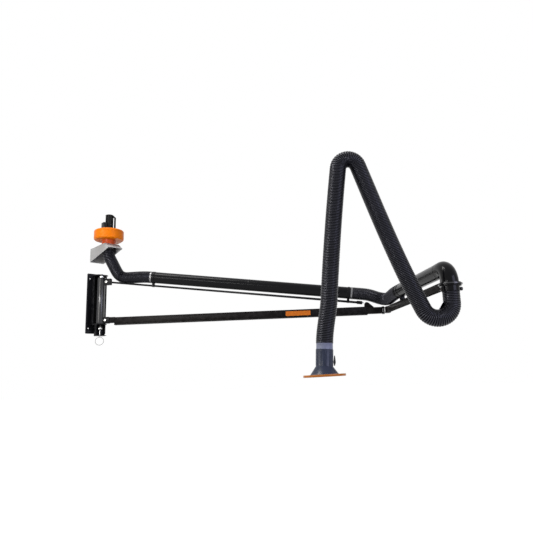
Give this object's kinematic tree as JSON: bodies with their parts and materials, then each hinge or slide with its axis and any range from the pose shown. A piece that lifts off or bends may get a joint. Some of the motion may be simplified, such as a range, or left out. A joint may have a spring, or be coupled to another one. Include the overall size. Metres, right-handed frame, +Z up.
{
  "type": "fume extraction arm",
  "caption": "Wall-mounted fume extraction arm on two swinging booms, with ribbed hose, hood with damper and a fan on its own console.",
  "frame": {"origin": "centre of the wall plate's back face", "axes": "+X out of the wall, +Y along the wall, +Z up"},
  "size_m": [4.8827, 2.93, 2.3806],
  "materials": {
    "satin_black": "satin powder coat",
    "gloss_black": "glossy enamel",
    "hose": "fine ribbed flexible hose",
    "zinc": "bright zinc plate",
    "link_steel": "zinc plated tube and flat bar",
    "joint_iron": "machined",
    "fan_orange": "semi-gloss powder coat",
    "rim_orange": "satin powder coat",
    "console_grey": "satin powder coat",
    "rotor_grey": "satin",
    "motor_black": "satin",
    "lead_black": "moulded",
    "hood_grey": "satin powder coat",
    "cuff_grey": "moulded cuff band",
    "flap_steel": "plain sheet"
  },
  "bodies": {
    "wall_side": {"wall_plate": "satin_black", "bracket_channel": "satin_black", "upper_ear": "satin_black", "upper_pivot_bolt": "zinc", "lower_ear": "satin_black", "console_frame": "console_grey", "console_shelf": "console_grey", "fan_inlet_neck": "fan_orange", "fan_housing": "fan_orange", "motor_body": "motor_black", "motor_cowl": "motor_black", "terminal_box": "motor_black", "motor_lead": "lead_black", "fan_hose": "hose", "fan_hose_clamp": "zinc"},
    "fan_rotor": {"impeller": "rotor_grey", "motor_shaft": "zinc"},
    "lock_plunger": {"lock_plunger": "zinc"},
    "pull_ring": {"pull_ring": "zinc"},
    "boom_1": {"mast_tube": "satin_black", "stay_bolt": "zinc", "beam_bolt": "zinc", "stay_rod": "satin_black", "stay_adjuster": "zinc", "beam_1": "satin_black", "beam_1_head": "satin_black", "knuckle_pin": "zinc", "duct_1": "satin_black", "duct_saddle_inner": "satin_black", "duct_saddle_outer": "satin_black", "duct_1_clamp_inner": "zinc", "duct_1_clamp_outer": "zinc", "knuckle_hose": "hose"},
    "boom_2": {"knuckle_hub": "satin_black", "beam_2": "satin_black", "end_post": "satin_black", "swivel_flange": "satin_black", "duct_2": "satin_black", "duct_2_clamp": "zinc", "duct_2_saddle": "satin_black", "duct_elbow": "gloss_black"},
    "arm_base": {"swivel_collar": "gloss_black", "base_bracket": "link_steel", "shoulder_pin": "joint_iron", "shoulder_hose": "hose"},
    "lock_knob": {"lock_knob": "lead_black"},
    "lower_arm": {"lower_link": "link_steel", "elbow_pin": "joint_iron", "riser_hose": "hose", "elbow_hose": "hose"},
    "upper_arm": {"upper_link": "link_steel", "wrist_pin": "joint_iron", "drop_hose": "hose", "wrist_hose": "hose"},
    "hood_joint": {"hood_hanger": "link_steel"},
    "hood": {"hood_cuff": "cuff_grey", "hood_body": "hood_grey", "hood_rim": "rim_orange"},
    "damper": {"damper_flap": "flap_steel", "damper_lever": "lead_black"}
  },
  "joints": [
    {"name": "mast_swivel", "type": "hinge", "parent": "wall_side", "child": "boom_1", "pos_m": [0.15, 0, 0], "axis": [0, 0, 1], "range_deg": [-110, 40], "deforming": ["fan_hose"]},
    {"name": "knuckle_swivel", "type": "hinge", "parent": "boom_1", "child": "boom_2", "pos_m": [3.09137, 2.64842, -0.275], "axis": [0, 0, 1], "range_deg": [-58, 128], "deforming": ["knuckle_hose"]},
    {"name": "arm_swivel", "type": "hinge", "parent": "boom_2", "child": "arm_base", "pos_m": [4.76754, 1.44994, -0.275], "axis": [0, 0, 1], "range_deg": [-45, 235]},
    {"name": "shoulder_pitch", "type": "hinge", "parent": "arm_base", "child": "lower_arm", "pos_m": [4.65423, 1.32321, -0.60519], "axis": [0.7455, -0.6665, 0], "range_deg": [-8, 80], "deforming": ["shoulder_hose"]},
    {"name": "elbow_pitch", "type": "hinge", "parent": "lower_arm", "child": "upper_arm", "pos_m": [4.15966, 0.77006, 1.004], "axis": [-0.7455, 0.6665, 0], "range_deg": [-3, 105], "deforming": ["elbow_hose"]},
    {"name": "hood_tilt", "type": "hinge", "parent": "upper_arm", "child": "hood_joint", "pos_m": [3.94081, 0.52529, -0.705], "axis": [0.7455, -0.6665, 0], "range_deg": [-60, 60], "deforming": ["wrist_hose"]},
    {"name": "hood_turn", "type": "hinge", "parent": "hood_joint", "child": "hood", "pos_m": [3.93603, 0.51995, -0.84176], "axis": [0.0349, 0.039, 0.9986], "continuous": true},
    {"name": "damper_turn", "type": "hinge", "parent": "hood", "child": "damper", "pos_m": [3.93091, 0.51422, -0.98854], "axis": [-0.6656, -0.7445, 0.0523], "range_deg": [0, 90]},
    {"name": "lock_knob_turn", "type": "hinge", "parent": "arm_base", "child": "lock_knob", "pos_m": [4.83333, 1.52352, -0.3273], "axis": [0.6665, 0.7455, 0], "range_deg": [0, 360]},
    {"name": "plunger_pull", "type": "slide", "parent": "wall_side", "child": "lock_plunger", "axis": [0, 0, -1], "range_m": [0, 0.035]},
    {"name": "pull_ring_swing", "type": "hinge", "parent": "lock_plunger", "child": "pull_ring", "pos_m": [0.15, 0, -0.49072], "axis": [0.6691, 0.7431, 0], "range_deg": [-55, 55]},
    {"name": "fan_spin", "type": "hinge", "parent": "wall_side", "child": "fan_rotor", "pos_m": [0.373, -0.012, 0.95], "axis": [0, 0, 1], "continuous": true}
  ]
}
